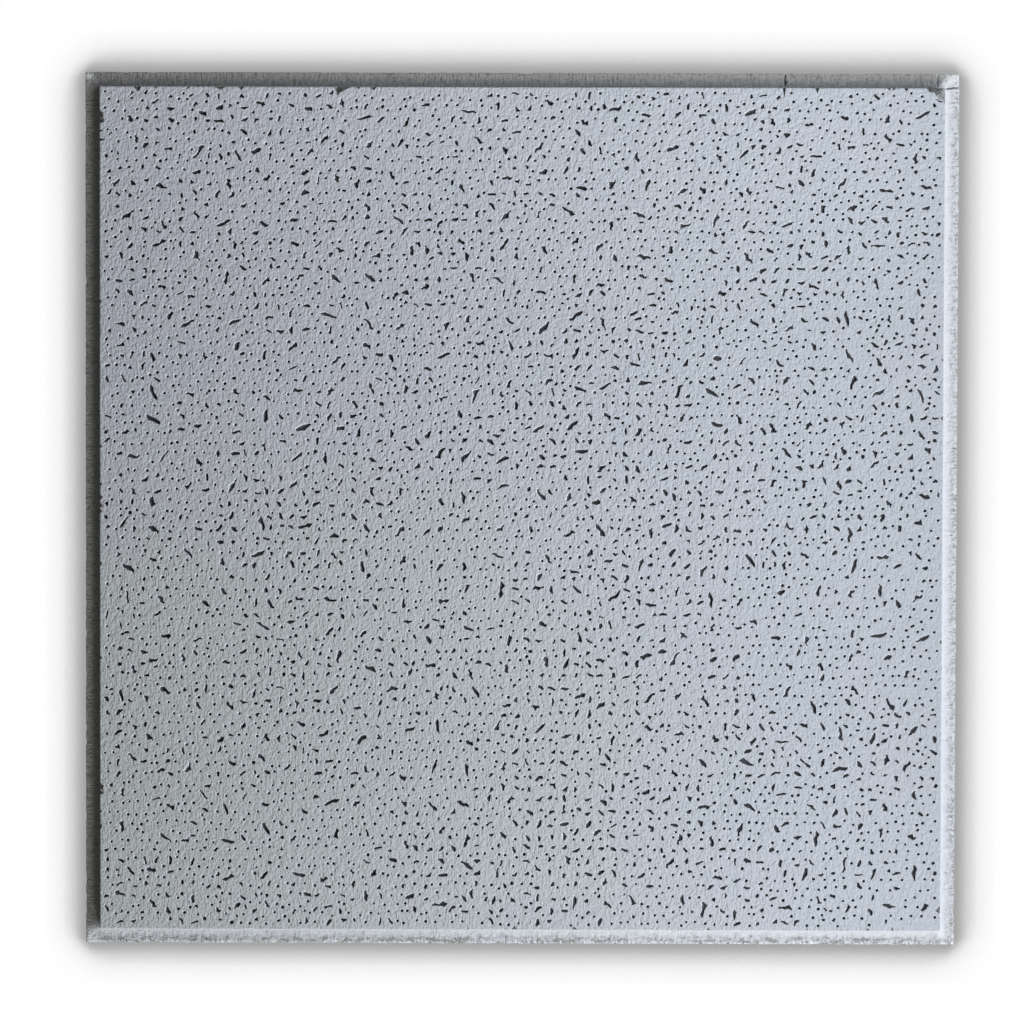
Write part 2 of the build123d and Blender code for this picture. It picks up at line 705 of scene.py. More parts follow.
@dataclass(frozen=True)
class StepEdge:
    """The stepped edge: one profile carried round the board, crumbled where the fibre is bare."""

    nicks: tuple[Flaw, ...]
    cracks: tuple[Flaw, ...]
    chip: CornerChip
    spacing: float = 1.9
    mitre: float = 30.0
    back_inset: float = 6.0
    ledge_rows: int = 7
    ledge_grain: float = 0.46
    edge_wear: float = 1.1
    wall_grain: float = 0.16
    rim_grain: float = 0.22
    nick_taper: float = 1.7
    torn_from: float = 0.08
    edge_band: float = 2.6
    corner_calm: float = 25.0
    crack_wander: float = 0.9
    crack_margin: float = 1.3
    crack_spacing: float = 0.5
    corner_gap: float = 0.2
    fine_grain: float = 2.3
    coarse_grain: float = 5.5
    broken_from: float = 0.25
    side_wear: float = 0.2
    edge_set_back: float = 0.8
    bite_grain: float = 1.6
    bite_raggedness: float = 0.35

    def profile(self, sizes: BoardSizes) -> np.ndarray:
        """The section from the back, up the outer side, along the ledge and up the wall to the face.

        Args:
            sizes: the board's sizes.

        Returns:
            Rows of inset from the outer edge and height.
        """
        foot, rim = sizes.ledge, sizes.ledge + sizes.lean
        top, flange, soft = sizes.thickness, sizes.flange, sizes.rim_radius
        outer = [(self.back_inset, 0), (0.7, 0), (0.05, 0.6), (0, 2.4), (0, 4.6), (0.05, 6.3), (0.6, flange)]
        ledge = [(d, flange) for d in np.linspace(0.6, foot, self.ledge_rows + 1)[1:]]
        wall = [(foot + sizes.lean * 0.35, flange + 2.8), (foot + sizes.lean * 0.7, flange + 5.6)]
        ease = np.linspace(0, math.pi / 2, 4)
        bow = zip(rim - 0.1 + soft * (1 - np.cos(ease)), top - soft + soft * np.sin(ease))
        return np.array(outer + ledge + wall + list(bow))

    def foot_row(self) -> int:
        """The profile's row at the foot of the wall: the last of the ledge's, after seven outer ones."""
        return 6 + self.ledge_rows

    def stations(self, side: Side, half_run: float, foot_inset: float) -> np.ndarray:
        """Places along one side, closer at its nicks, and at its cracks from the edge to the wall's foot.

        Args:
            side: the side.
            half_run: half the side's length.
            foot_inset: the wall's foot, from the outer edge.

        Returns:
            Distances from the side's middle, from one corner up to but without the next.
        """
        even = np.linspace(-half_run, half_run, int(2 * half_run / self.spacing), endpoint=False)
        close = [flaw.stations() for flaw in self.nicks if flaw.side is side]
        straight = half_run - self.mitre
        for crack in (c for c in self.cracks if c.side is side):
            past = max(abs(crack.along) - straight, 0.0)
            drawn_in = math.copysign(past / (1 - foot_inset / self.mitre) - past, crack.along)
            ends = sorted((crack.along, crack.along + drawn_in))
            last = min(ends[1] + self.crack_margin, half_run - self.corner_gap)
            close.append(np.arange(ends[0] - self.crack_margin, last, self.crack_spacing))
        return np.unique(np.concatenate([even, *close]))

    def rows(self, sizes: BoardSizes) -> tuple[np.ndarray, np.ndarray]:
        """The whole edge as a grid: profile row by station, with X, Y and Z.

        A station keeps its place along the side, and close to a corner it is drawn in to the mitre.

        Args:
            sizes: the board's sizes.

        Returns:
            The grid's points, crumbled, nicked, cracked and chipped, and inside the board's box, and which
            of them are torn fibre.
        """
        profile = self.profile(sizes)
        inset = profile[:, :1]
        parts, torn_parts = [], []
        for side in Side:
            half_run, half_out = np.abs(sizes.half @ np.abs([side.run, side.out]).T)
            along = self.stations(side, half_run, sizes.ledge)
            straight = half_run - self.mitre
            past = np.clip(np.abs(along) - straight, 0, None)
            places = np.sign(along) * (np.minimum(np.abs(along), straight) + past * (1 - inset / self.mitre))
            distance = np.broadcast_to(half_out - inset, places.shape)
            out, height, torn = self.crumble(side, places, distance, profile)
            flat = places[..., None] * side.run + out[..., None] * side.out
            parts.append(np.concatenate([flat, height[..., None]], axis=-1))
            torn_parts.append(torn)
        grid, chipped = self.chip.press(np.concatenate(parts, axis=1), sizes)
        low = np.array([-sizes.half_width, -sizes.half_length, 0])
        inside = np.clip(grid, low, [sizes.half_width, sizes.half_length, sizes.thickness])
        return inside, chipped | np.concatenate(torn_parts, axis=1)

    def crumble(
        self, side: Side, along: np.ndarray, out: np.ndarray, profile: np.ndarray
    ) -> tuple[np.ndarray, np.ndarray, np.ndarray]:
        """Wear one side: grain on the ledge and walls, a broken outer edge, and the side's nicks and cracks.

        A nick narrows down the wall: what is gone is its share less the taper times the way down.

        Args:
            side: the side.
            along: places along it, row by station.
            out: distances from the board's middle, row by station.
            profile: the section's insets and heights.

        Returns:
            The worn distances from the middle, the worn heights, and which places are torn.
        """
        inset, height = profile[:, :1], profile[:, 1:]
        foot, flange, top = profile[self.foot_row(), 0], profile[self.foot_row(), 1], profile[-1, 1]
        flat = along[..., None] * side.run + out[..., None] * side.out
        where = np.concatenate([flat, np.broadcast_to(height, along.shape)[..., None]], axis=-1)
        slack = 0.01
        on_ledge = (np.abs(height - flange) < slack) & (inset < foot - slack)
        on_side = (inset < 0.5) & (height > 0.1)
        on_wall = height > flange + slack
        bareness = 0.25 + 0.75 * np.clip(1 - inset / foot, 0, 1)
        fine = lattice_noise(where, self.fine_grain, 31)
        coarse = lattice_noise(where, self.coarse_grain, 32)
        grain = 0.62 * fine + 0.38 * coarse
        breaks = lattice_noise(where, [5.0, 5.0, 40.0], 33)
        broken = np.clip(breaks + 0.35 * grain - self.broken_from, 0, None)
        near_edge = np.clip(1 - inset / self.edge_band, 0, 1) * (height > 2)
        broken = broken * np.clip((out.max() - np.abs(along)) / self.corner_calm, 0.3, 1)
        height = height + on_ledge * self.ledge_grain * bareness * grain
        height = height - near_edge * self.edge_wear * broken
        out = out - on_side * self.side_wear * (1 + grain)
        out = out - near_edge * self.edge_set_back * self.edge_wear * broken
        lift = np.clip((height - flange) / (top - flange), 0, 1)
        waver = lattice_noise(where, [6.0, 6.0, 30.0], 34)
        rough = self.wall_grain * (1 - lift) + self.rim_grain * lift ** 4 * waver
        out = out - on_wall * np.abs(rough) * (1 + lattice_noise(where, 2.6, 35))
        torn = np.zeros(along.shape, bool)
        ragged = 1 + self.bite_raggedness * lattice_noise(where, self.bite_grain, 37)
        for nick in (n for n in self.nicks if n.side is side):
            gone = np.clip(nick.bite(along) + self.nick_taper * (lift - 1), 0, 1) * on_wall
            out = out - nick.depth * gone * ragged
            torn |= gone > self.torn_from
        for crack in (c for c in self.cracks if c.side is side):
            gap = crack.bite(along - self.crack_wander * lattice_noise(where, 3.0, 36))
            height = height - (on_ledge | near_edge.astype(bool)) * crack.depth * gap
        return out, height, torn


@dataclass
class TileBoard:
    """The board as one closed mesh: the step edge, the face between its holes, the holes and the back."""

    sizes: BoardSizes
    edge: StepEdge
    long_fissures: LongFissures
    short_fissures: ShortFissures
    pin_holes: PinHoles
    crack: CornerCrack
    hole_gap: float = 0.2
    rim_gap: float = 0.5
    rim_land: float = 1.5
    chip_clearance: float = 0.55

    def build(self) -> bpy.types.Object:
        """Work out every point and face, and write them into one mesh.

        Returns:
            The board, at the origin.
        """
        rows, torn = self.edge.rows(self.sizes)
        rim = rows[-1]
        kinds = self.holes(rim)
        patch, patch_torn = self.edge.chip.press(self.edge.chip.patch(self.sizes), self.sizes)
        mouths = np.concatenate([kind.mouths.reshape(-1, 2) for kind in kinds])
        level = np.full((len(mouths), 1), self.sizes.thickness)
        face = np.concatenate([rim, patch, np.concatenate([mouths, level], axis=1)])
        rings = [np.arange(len(rim))]
        start = len(rim) + len(patch)
        for kind in kinds:
            count, ring = kind.mouths.shape[:2]
            rings += list(start + np.arange(count * ring).reshape(count, ring))
            start += count * ring
        land = self.land_faces(face[:, :2], rings)
        bare = np.concatenate([torn[-1], patch_torn, np.zeros(len(mouths), bool)])[land].all(axis=1)
        skins = np.where(bare, Skin.FIBRE.value, Skin.PAINT.value)
        return self.write(*self.join_edge(rows, torn, *self.join_holes(face, land, skins, kinds)))

    def holes(self, rim: np.ndarray) -> list[Pits]:
        """Choose the holes: the crack and the long fissures, then short ones and pricks clear of them.

        Args:
            rim: the face's outline, one point a row.

        Returns:
            The corner's crack, the long fissures, the short fissures and the pricks.
        """
        top = self.sizes.thickness
        face_half = self.sizes.rim_half - self.rim_land
        bitten = (np.abs(rim[:, :2]) < face_half).all(axis=1)
        guard = np.column_stack([rim[bitten, :2], np.full(bitten.sum(), self.rim_gap)])
        plain = TearShape(stations=5, seed=43, spur_share=0.0, tail=0.0)
        ragged = TearShape(stations=5, seed=41)
        stubby = TearShape(stations=3, seed=42, raggedness=0.5, spur_share=0.6, spur_most=1.3, tail=0.3)
        chosen: list[Pits] = [plain.pits(self.crack.draw(self.sizes), top)]
        for pits in (
            ragged.pits(self.long_fissures.draw(self.sizes), top),
            stubby.pits(self.short_fissures.draw(self.sizes), top),
            self.pin_holes.pits(self.sizes),
        ):
            discs = pits.discs
            inside = (np.abs(discs[..., :2]) + discs[..., 2:] < face_half).all(axis=(1, 2))
            uncut = (disc_gap(discs[:, :, None], guard) > self.hole_gap).all(axis=(1, 2))
            middle = np.column_stack([discs[:, 0, :2], np.full(len(discs), top)])
            whole = self.edge.chip.above(middle, self.sizes) < -self.chip_clearance
            pits = pits.kept(inside & uncut & whole)
            for others in (pits, *chosen):
                pits = pits.kept(clear_of(pits, others, self.hole_gap))
            chosen.append(pits)
        return chosen

    @staticmethod
    def land_faces(flat: np.ndarray, rings: list[np.ndarray]) -> np.ndarray:
        """Fill the face between its outline and the mouths with triangles, all turned upwards.

        Args:
            flat: X and Y of the outline's points and then of the mouths' points.
            rings: the points of the outline, and of each mouth.

        Returns:
            Triangles as rows of point numbers.
        """
        kept, _, faces, _, _, owners = delaunay_2d_cdt(
            [Vector(point) for point in flat.tolist()], [], [ring.tolist() for ring in rings], 0, 1e-7
        )
        if len(kept) != len(flat):
            raise ValueError("two outlines on the face meet")
        face = np.array(faces)
        land = face[[owner == [0] for owner in owners]]
        a, b, c = (flat[land[:, i]] for i in range(3))
        turned = np.cross(b - a, c - a) < 0
        land[turned] = land[turned][:, ::-1]
        return land

    def join_holes(
        self, points: np.ndarray, land: np.ndarray, land_skins: np.ndarray, kinds: list[Pits]
    ) -> tuple[np.ndarray, np.ndarray, np.ndarray]:
        """Add every hole's walls under its mouth.

        Args:
            points: the face's points: its outline, and then the mouths in the order of the kinds.
            land: the face's triangles.
            land_skins: their skins.
            kinds: the kinds of hole.

        Returns:
            Points, triangles and each triangle's skin.
        """
        face_parts, skin_parts = [land], [land_skins]
        mouth_start = len(points) - sum(kind.mouths[..., 0].size for kind in kinds)
        for kind in kinds:
            count, ring = kind.mouths.shape[:2]
            depth = kind.floors.shape[1]
            own = np.concatenate([
                mouth_start + np.arange(count * ring).reshape(count, ring),
                len(points) + np.arange(count * depth).reshape(count, depth),
            ], axis=1)
            walls = own[:, kind.faces].reshape(-1, 3)
            points = np.concatenate([points, kind.floors.reshape(-1, 3)])
            mouth_start += count * ring
            face_parts.append(walls)
            skin_parts.append(np.full(len(walls), kind.skin.value))
        return points, np.concatenate(face_parts), np.concatenate(skin_parts)

    def join_edge(
        self, rows: np.ndarray, torn: np.ndarray, points: np.ndarray, faces: np.ndarray, skins: np.ndarray
    ) -> tuple[np.ndarray, np.ndarray, np.ndarray, np.ndarray]:
        """Add the step edge round the face and the back under it. The edge's last row is the face's outline.

        Args:
            rows: the edge's grid, profile row by station.
            torn: which of the grid's points are torn fibre.
            points: the face's and holes' points, which start with the outline.
            faces: their triangles.
            skins: each triangle's skin.

        Returns:
            Points, triangles and skins of the closed board, and which triangles are shaded smooth.
        """
        count, stations = rows.shape[:2]
        below = count - 1
        number = len(points) + np.arange(below * stations).reshape(below, stations)
        number = np.concatenate([number, np.arange(stations)[None]])
        ahead = np.roll(number, -1, axis=1)
        quads = np.stack([number[:-1], ahead[:-1], ahead[1:], number[1:]], axis=-1)
        strips = np.concatenate([quads[..., [0, 1, 2]], quads[..., [0, 2, 3]]], axis=1)
        on_wall = np.arange(below) >= self.edge.foot_row()
        painted = on_wall[:, None] & ~(torn[:-1] | np.roll(torn[1:], -1, axis=1))
        strip_skin = np.tile(np.where(painted, Skin.PAINT.value, Skin.FIBRE.value), 2).ravel()
        back_ring = rows[0, :, :2]
        back = number[0][self.land_faces(back_ring, [np.arange(stations)])][:, ::-1]
        return (
            np.concatenate([points, rows[:-1].reshape(-1, 3)]),
            np.concatenate([faces, strips.reshape(-1, 3), back]),
            np.concatenate([skins, strip_skin, np.full(len(back), Skin.FIBRE.value)]),
            np.repeat([False, True, False], [len(faces), len(strip_skin), len(back)]),
        )

    @staticmethod
    def write(
        points: np.ndarray, faces: np.ndarray, skins: np.ndarray, smooth: np.ndarray
    ) -> bpy.types.Object:
        """Put arrays into a new mesh object.

        Args:
            points: the points, in millimetres.
            faces: triangles.
            skins: each triangle's material slot.
            smooth: whether each triangle is shaded smooth.

        Returns:
            The object, linked to the scene.
        """
        mesh = bpy.data.meshes.new("tile_board")
        mesh.vertices.add(len(points))
        mesh.vertices.foreach_set("co", (points * MM).astype(np.float32).ravel())
        mesh.loops.add(faces.size)
        mesh.loops.foreach_set("vertex_index", faces.astype(np.int32).ravel())
        mesh.polygons.add(len(faces))
        mesh.polygons.foreach_set("loop_start", np.arange(0, faces.size, 3, dtype=np.int32))
        mesh.polygons.foreach_set("material_index", skins.astype(np.int32))
        mesh.polygons.foreach_set("use_smooth", smooth)
        mesh.update(calc_edges=True)
        mesh.validate()
        return add_object("tile_board", mesh)

    @staticmethod
    def dress(board: bpy.types.Object, finishes: list[bpy.types.Material]) -> None:
        """Give the board its materials, in the order of Skin, and tie it to the frame.

        Args:
            board: the board.
            finishes: one material for each skin.
        """
        for finish in finishes:
            board.data.materials.append(finish)
        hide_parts(NODE)
        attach(board, "root")


class NodeSheet:
    """The nodes of a material or a world, with short calls for what they share."""

    def __init__(self, owner: bpy.types.Material | bpy.types.World) -> None:
        """Take up a new material or world.

        Args:
            owner: the material or world.
        """
        owner.use_nodes = True
        self.owner = owner
        self.tree = owner.node_tree

    @cached_property
    def place(self) -> Socket:
        """The object's own coordinates."""
        return self.add("ShaderNodeTexCoord").outputs["Object"]

    def add(self, kind: str, **settings: object) -> bpy.types.Node:
        """Add a node and set its properties.

        Args:
            kind: the node's type.
            settings: its properties by name.

        Returns:
            The node.
        """
        node = self.tree.nodes.new(kind)
        for name, value in settings.items():
            setattr(node, name, value)
        return node

    def feed(self, socket: Socket, value: object) -> None:
        """Link a socket to another, or set its value.

        Args:
            socket: the socket to feed.
            value: another socket, or a plain value.
        """
        if isinstance(value, Socket):
            self.tree.links.new(value, socket)
        else:
            socket.default_value = value

    def feed_colour(self, socket: Socket, colour: Socket | Colour) -> None:
        """Feed a colour socket from another socket, or from red, green and blue."""
        self.feed(socket, colour if isinstance(colour, Socket) else (*colour, 1.0))

    def noise(
        self, spacing: Triple, detail: float = 2.0, roughness: float = 0.5, place: Socket | None = None
    ) -> Socket:
        """Noise whose features are about the given size along X, Y and Z, in millimetres.

        Args:
            spacing: feature size along each axis.
            detail: octaves of finer noise.
            roughness: how strong the finer octaves are.
            place: other coordinates than the object's own.

        Returns:
            The noise's value, from 0 to 1.
        """
        mapping = self.add("ShaderNodeMapping")
        self.feed(mapping.inputs["Vector"], place or self.place)
        mapping.inputs["Scale"].default_value = [1 / (size * MM) for size in spacing]
        noise = self.add("ShaderNodeTexNoise")
        self.feed(noise.inputs["Vector"], mapping.outputs["Vector"])
        self.feed(noise.inputs["Scale"], 1.0)
        self.feed(noise.inputs["Detail"], detail)
        self.feed(noise.inputs["Roughness"], roughness)
        return noise.outputs["Fac"]

    def math(self, operation: str, *values: object) -> Socket:
        """A Math node over sockets or numbers.

        Args:
            operation: what the node does.
            values: its sockets' values, in order.

        Returns:
            The result.
        """
        node = self.add("ShaderNodeMath", operation=operation)
        for socket, value in zip(node.inputs, values):
            self.feed(socket, value)
        return node.outputs["Value"]

    def times(self, first: object, second: object) -> Socket:
        """One value times another."""
        return self.math("MULTIPLY", first, second)

    def less(self, first: object, second: object) -> Socket:
        """One value less another."""
        return self.math("SUBTRACT", first, second)

    def plus(self, first: object, second: object) -> Socket:
        """Two values added."""
        return self.math("ADD", first, second)

    def ramp(
        self, value: object, low: object, high: object, to_low: float = 0.0, to_high: float = 1.0
    ) -> Socket:
        """A smooth step from one number to another as a value goes from low to high.

        Args:
            value: the value.
            low: where the step starts.
            high: where it ends.
            to_low: the result up to the start.
            to_high: the result from the end on.

        Returns:
            The result.
        """
        node = self.add("ShaderNodeMapRange", interpolation_type="SMOOTHSTEP")
        names = ("Value", "From Min", "From Max", "To Min", "To Max")
        for name, number in zip(names, (value, low, high, to_low, to_high)):
            self.feed(node.inputs[name], number)
        return node.outputs["Result"]

    def mix(self, share: object, first: object, second: object) -> Socket:
        """A colour between two others.

        Args:
            share: the second colour's share.
            first: the first colour.
            second: the second colour.

        Returns:
            The colour.
        """
        node = self.add("ShaderNodeMix", data_type="RGBA")
        self.feed(node.inputs["Factor"], share)
        sockets = [socket for socket in node.inputs if socket.type == "RGBA"]
        for socket, colour in zip(sockets, (first, second)):
            self.feed_colour(socket, colour)
        return next(socket for socket in node.outputs if socket.type == "RGBA")

    def brighten(self, colour: Socket | Colour, factor: object) -> Socket:
        """A colour times a number.

        Args:
            colour: the colour.
            factor: the number.

        Returns:
            The colour.
        """
        node = self.add("ShaderNodeHueSaturation")
        self.feed_colour(node.inputs["Color"], colour)
        self.feed(node.inputs["Value"], factor)
        return node.outputs["Color"]

    def bump(self, height: Socket, depth: float, under: Socket | None = None) -> Socket:
        """A bump of a given depth in millimetres, over another one if given.

        Args:
            height: the bump's height, from 0 to 1.
            depth: the depth in millimetres.
            under: the normal of the bump below.

        Returns:
            The normal.
        """
        node = self.add("ShaderNodeBump")
        self.feed(node.inputs["Height"], height)
        self.feed(node.inputs["Distance"], depth * MM)
        if under is not None:
            self.feed(node.inputs["Normal"], under)
        return node.outputs["Normal"]

    def axis(self, index: int) -> Socket:
        """One of the object's own coordinates, in metres.

        Args:
            index: 0, 1 or 2 for X, Y or Z.

        Returns:
            The coordinate.
        """
        node = self.add("ShaderNodeSeparateXYZ")
        self.feed(node.inputs["Vector"], self.place)
        return node.outputs[index]

    def edge_place(self) -> Socket:
        """Coordinates that follow the outline: along the nearest side, out from the middle, and up.

        Returns:
            The coordinates, in metres.
        """
        x, y = self.axis(0), self.axis(1)
        x_far, y_far = self.math("ABSOLUTE", x), self.math("ABSOLUTE", y)
        upright = self.math("GREATER_THAN", x_far, y_far)
        along = self.plus(x, self.times(upright, self.less(y, x)))
        node = self.add("ShaderNodeCombineXYZ")
        for socket, value in zip(node.inputs, (along, self.math("MAXIMUM", x_far, y_far), self.axis(2))):
            self.feed(socket, value)
        return node.outputs["Vector"]

    def finish(
        self, tone: Socket | Colour, roughness: float, specular: float, normal: Socket | None = None
    ) -> bpy.types.Material:
        """Feed the material's shader and hand the material over.

        Args:
            tone: the base colour.
            roughness: the roughness.
            specular: the specular level.
            normal: the bumped normal, if there is one.

        Returns:
            The material.
        """
        sockets = self.tree.nodes["Principled BSDF"].inputs
        self.feed_colour(sockets["Base Color"], tone)
        self.feed(sockets["Roughness"], roughness)
        self.feed(sockets["Specular IOR Level"], specular)
        if normal is not None:
            self.feed(sockets["Normal"], normal)
        return self.owner


@dataclass(frozen=True)
class FacePaint:
    """Matt paint on the face: stippled, in faint upright streaks and in random patches; tinted warmer
    towards the left and in a patch at the lower left, and brightened towards the top and bottom, all as
    painted light.
    """

    tone: Colour = (0.438, 0.48, 0.53)
    # Second tone of the random patches, which the slope also spreads towards the left as painted light.
    mottle_and_warm_light_tone: Colour = (0.464, 0.48, 0.53)
    # Warmer tint of the lower left patch: painted light.
    warm_light_tone: Colour = (0.449, 0.48, 0.494)
    warm_light_middle: tuple[float, float] = (-190.0, -170.0)
    warm_light_reach: tuple[float, float] = (300.0, 210.0)
    warm_light_grain: Triple = (80.0, 80.0, 80.0)
    warm_light_raggedness: float = 1.6
    mottle_size: Triple = (45.0, 45.0, 45.0)
    warm_light_slope: float = -0.7
    # Painted light: the tone is brightened away from this line towards the top and bottom edges.
    painted_light_middle: float = -20.0
    painted_light_reach: tuple[float, float] = (130.0, 290.0)
    painted_light_gain: float = 1.06
    stipple_size: Triple = (1.7, 2.0, 1.8)
    stipple_depth: float = 1.4
    streak_size: Triple = (1.2, 4.5, 4.0)
    streak_depth: float = 0.55
    swell_size: Triple = (3.4, 4.2, 3.4)
    swell_depth: float = 0.85
    roughness: float = 0.85
    specular: float = 0.1

    def material(self) -> bpy.types.Material:
        """Build the material.

        Returns:
            The material.
        """
        sheet = NodeSheet(bpy.data.materials.new("face_paint"))
        # Painted light: the slope tints the paint warmer towards the left, where the bluish strip lamp gives
        # less of the light.
        leftward = sheet.times(sheet.axis(0), self.warm_light_slope)
        mottle_and_warm_light = sheet.ramp(sheet.plus(sheet.noise(self.mottle_size), leftward), 0.25, 0.75)
        mottled_and_warm_lit = sheet.mix(mottle_and_warm_light, self.tone, self.mottle_and_warm_light_tone)
        tone = sheet.mix(self.warm_light(sheet), mottled_and_warm_lit, self.warm_light_tone)
        # Painted light: brighter towards the top and bottom edges.
        far = sheet.math("ABSOLUTE", sheet.less(sheet.axis(1), self.painted_light_middle * MM))
        near_end, far_end = (reach * MM for reach in self.painted_light_reach)
        painted_light_tone = sheet.brighten(tone, sheet.ramp(far, near_end, far_end, 1.0, self.painted_light_gain))
        swells = sheet.bump(sheet.noise(self.swell_size, 1.0), self.swell_depth)
        streaks = sheet.bump(sheet.noise(self.streak_size, 1.0), self.streak_depth, swells)
        stipple = sheet.bump(sheet.noise(self.stipple_size, 3.0, 0.55), self.stipple_depth, streaks)
        return sheet.finish(painted_light_tone, self.roughness, self.specular, stipple)

    def warm_light(self, sheet: NodeSheet) -> Socket:
        """How much of the warmer tint the lower left gets, as painted light where the bluish strip lamp
        gives less: 1 in the middle of the patch, 0 past its ragged rim.

        Args:
            sheet: the material's nodes.

        Returns:
            The share of the aged tone.
        """
        ragged = sheet.less(sheet.noise(self.warm_light_grain, 3.0), 0.5)
        share = sheet.times(ragged, self.warm_light_raggedness)
        for axis, middle, reach in zip(range(2), self.warm_light_middle, self.warm_light_reach):
            along = sheet.math("DIVIDE", sheet.less(sheet.axis(axis), middle * MM), reach * MM)
            share = sheet.plus(share, sheet.times(along, along))
        return sheet.ramp(share, 0.3, 1.5, 1.0, 0.0)


@dataclass(frozen=True)
class HoleFibre:
    """The inside of a hole: paint at its mouth, brighter than the face's paint as a painted highlight, then
    bare fibre, darkened far below its own tone as painted shade deep in the hole.
    """

    name: str
    paint_reach: float
    fade: float = 0.3
    # Brighter than the face's paint: a painted highlight at the mouth.
    lip_highlight: Colour = (0.575, 0.605, 0.645)
    # The fibre darkened to near black: painted shade in the hole's depth.
    fibre: Colour = (0.034, 0.037, 0.043)
    ragged_size: Triple = (1.2, 1.2, 1.2)
    ragged_depth: float = 0.6
    roughness: float = 0.95
    specular: float = 0.1

    def material(self, level: float) -> bpy.types.Material:
        """Build the material.

        Args:
            level: the height of the face in millimetres.

        Returns:
            The material.
        """
        sheet = NodeSheet(bpy.data.materials.new(self.name))
        ragged = sheet.times(sheet.less(sheet.noise(self.ragged_size), 0.5), self.ragged_depth * MM)
        height = sheet.plus(sheet.axis(2), ragged)
        # Painted highlight on the paint down to its reach, painted shade in the fibre below.
        bare_below = level - self.paint_reach
        painted = sheet.ramp(height, (bare_below - self.fade) * MM, bare_below * MM)
        return sheet.finish(sheet.mix(painted, self.fibre, self.lip_highlight), self.roughness, self.specular)


@dataclass(frozen=True)
class EdgeFibre:
    """Bare pressed fibre on the flange, the back and torn places, with paint blown over two ledges. The
    other two ledges are darker, most at the wall's foot, as painted shade; the blown paint is brighter than
    the face's, partly as painted light; cracks and the torn hollow are darkened as painted shade.
    """

    fibre: Colour = (0.605, 0.632, 0.665)
    dark_fibre: Colour = (0.15, 0.151, 0.14)
    # Fibre of the top and left ledges, darker than on the other sides: painted shade.
    painted_shade_fibre: Colour = (0.385, 0.385, 0.37)
    # Darker still at the wall's foot: painted shadow of the wall.
    foot_shadow_fibre: Colour = (0.215, 0.222, 0.23)
    # Torn fibre, darkened beyond its own tone: painted shade in the hollow and the nicks.
    torn_fibre_and_shade: Colour = (0.19, 0.203, 0.198)
    # Near black: painted shade in cracks and the hollow's pores.
    cleft_shade: Colour = (0.038, 0.043, 0.043)
    flake: Colour = (0.32, 0.345, 0.35)
    stain: Colour = (0.26, 0.262, 0.25)
    crumbs: Colour = (0.76, 0.785, 0.81)
    # Blown paint, brighter than the face's own paint: partly painted light.
    overspray_and_painted_light: Colour = (0.6, 0.63, 0.67)
    # Brighter still on the bottom ledge: pale crumbs, and partly painted light.
    chalk_and_painted_light: Colour = (0.71, 0.735, 0.76)
    pore_size: Triple = (1.6, 1.6, 1.6)
    grain_depth: float = 1.0
    strand_size: Triple = (1.5, 7.0, 4.0)
    strand_depth: float = 1.2
    hollow_inset: float = 8.0
    hollow_half: float = 6.4
    hollow_depth: float = 4.6
    flake_reach: float = 15.0
    roughness: float = 0.95
    specular: float = 0.15

    def material(self, sizes: BoardSizes) -> bpy.types.Material:
        """Build the material.

        Args:
            sizes: the board's sizes.

        Returns:
            The material.
        """
        sheet = NodeSheet(bpy.data.materials.new("edge_fibre"))
        height = sheet.axis(2)
        edge_place = sheet.edge_place()
        strands = sheet.noise(self.strand_size, 3.0, 0.6, edge_place)
        pores = sheet.noise(self.pore_size, 3.0, 0.65)
        above = sheet.ramp(height, (sizes.flange + 0.9) * MM, (sizes.flange + 1.7) * MM)
        below = sheet.ramp(height, (sizes.flange - 1.2) * MM, (sizes.flange - 0.3) * MM)
        on_ledge = sheet.less(below, above)
        across, sprayed_and_lit, lower, corner, inside = self.regions(sheet, sizes)
        # Painted shade: the top and left ledges take a darker fibre tone, darkest at the wall's foot.
        dull = sheet.mix(across, self.foot_shadow_fibre, self.painted_shade_fibre)
        bare_fibre_tone = sheet.mix(sheet.times(sheet.less(1.0, sprayed_and_lit), on_ledge), self.fibre, dull)
        lit = sheet.ramp(sheet.plus(sheet.times(strands, 0.8), pores), 0.6, 0.96)
        bare = sheet.mix(sheet.plus(sheet.times(lit, 0.85), 0.15), self.dark_fibre, bare_fibre_tone)
        stained = sheet.times(self.stains(sheet, across, lower, edge_place), sprayed_and_lit)
        sprayed = sheet.times(sheet.ramp(across, 0.0, 0.9, 1.0, 0.0), sprayed_and_lit)
        sprayed = sheet.times(sprayed, on_ledge)
        # The blown paint's tone, brighter than the face's paint, is partly painted light.
        ledge_tone = sheet.mix(sprayed, bare, sheet.mix(lower, self.overspray_and_painted_light, self.chalk_and_painted_light))
        ledge_tone = sheet.mix(stained, ledge_tone, self.stain)
        rim_crumbs = sheet.times(sheet.times(lower, on_ledge), sheet.ramp(across, 0.88, 0.99))
        loose = sheet.times(corner, sheet.ramp(pores, 0.34, 0.52, 0.3, 1.0))
        loose = sheet.math("MAXIMUM", loose, sheet.times(rim_crumbs, sheet.ramp(pores, 0.48, 0.56)))
        ledge_tone = sheet.mix(loose, ledge_tone, self.crumbs)
        # Painted shade: near black in the cracks below the ledge.
        deep = sheet.ramp(height, (sizes.flange - 1.7) * MM, (sizes.flange - 0.7) * MM, 1.0, 0.0)
        ledge_tone = sheet.mix(sheet.times(deep, inside), ledge_tone, self.cleft_shade)
        tone = sheet.mix(above, ledge_tone, self.torn(sheet, sizes, pores))
        bareness = sheet.less(1.0, sheet.times(sprayed, 0.65))
        coarse = sheet.bump(sheet.times(strands, bareness), self.strand_depth)
        fine = sheet.bump(sheet.times(pores, bareness), self.grain_depth, coarse)
        return sheet.finish(tone, self.roughness, self.specular, fine)

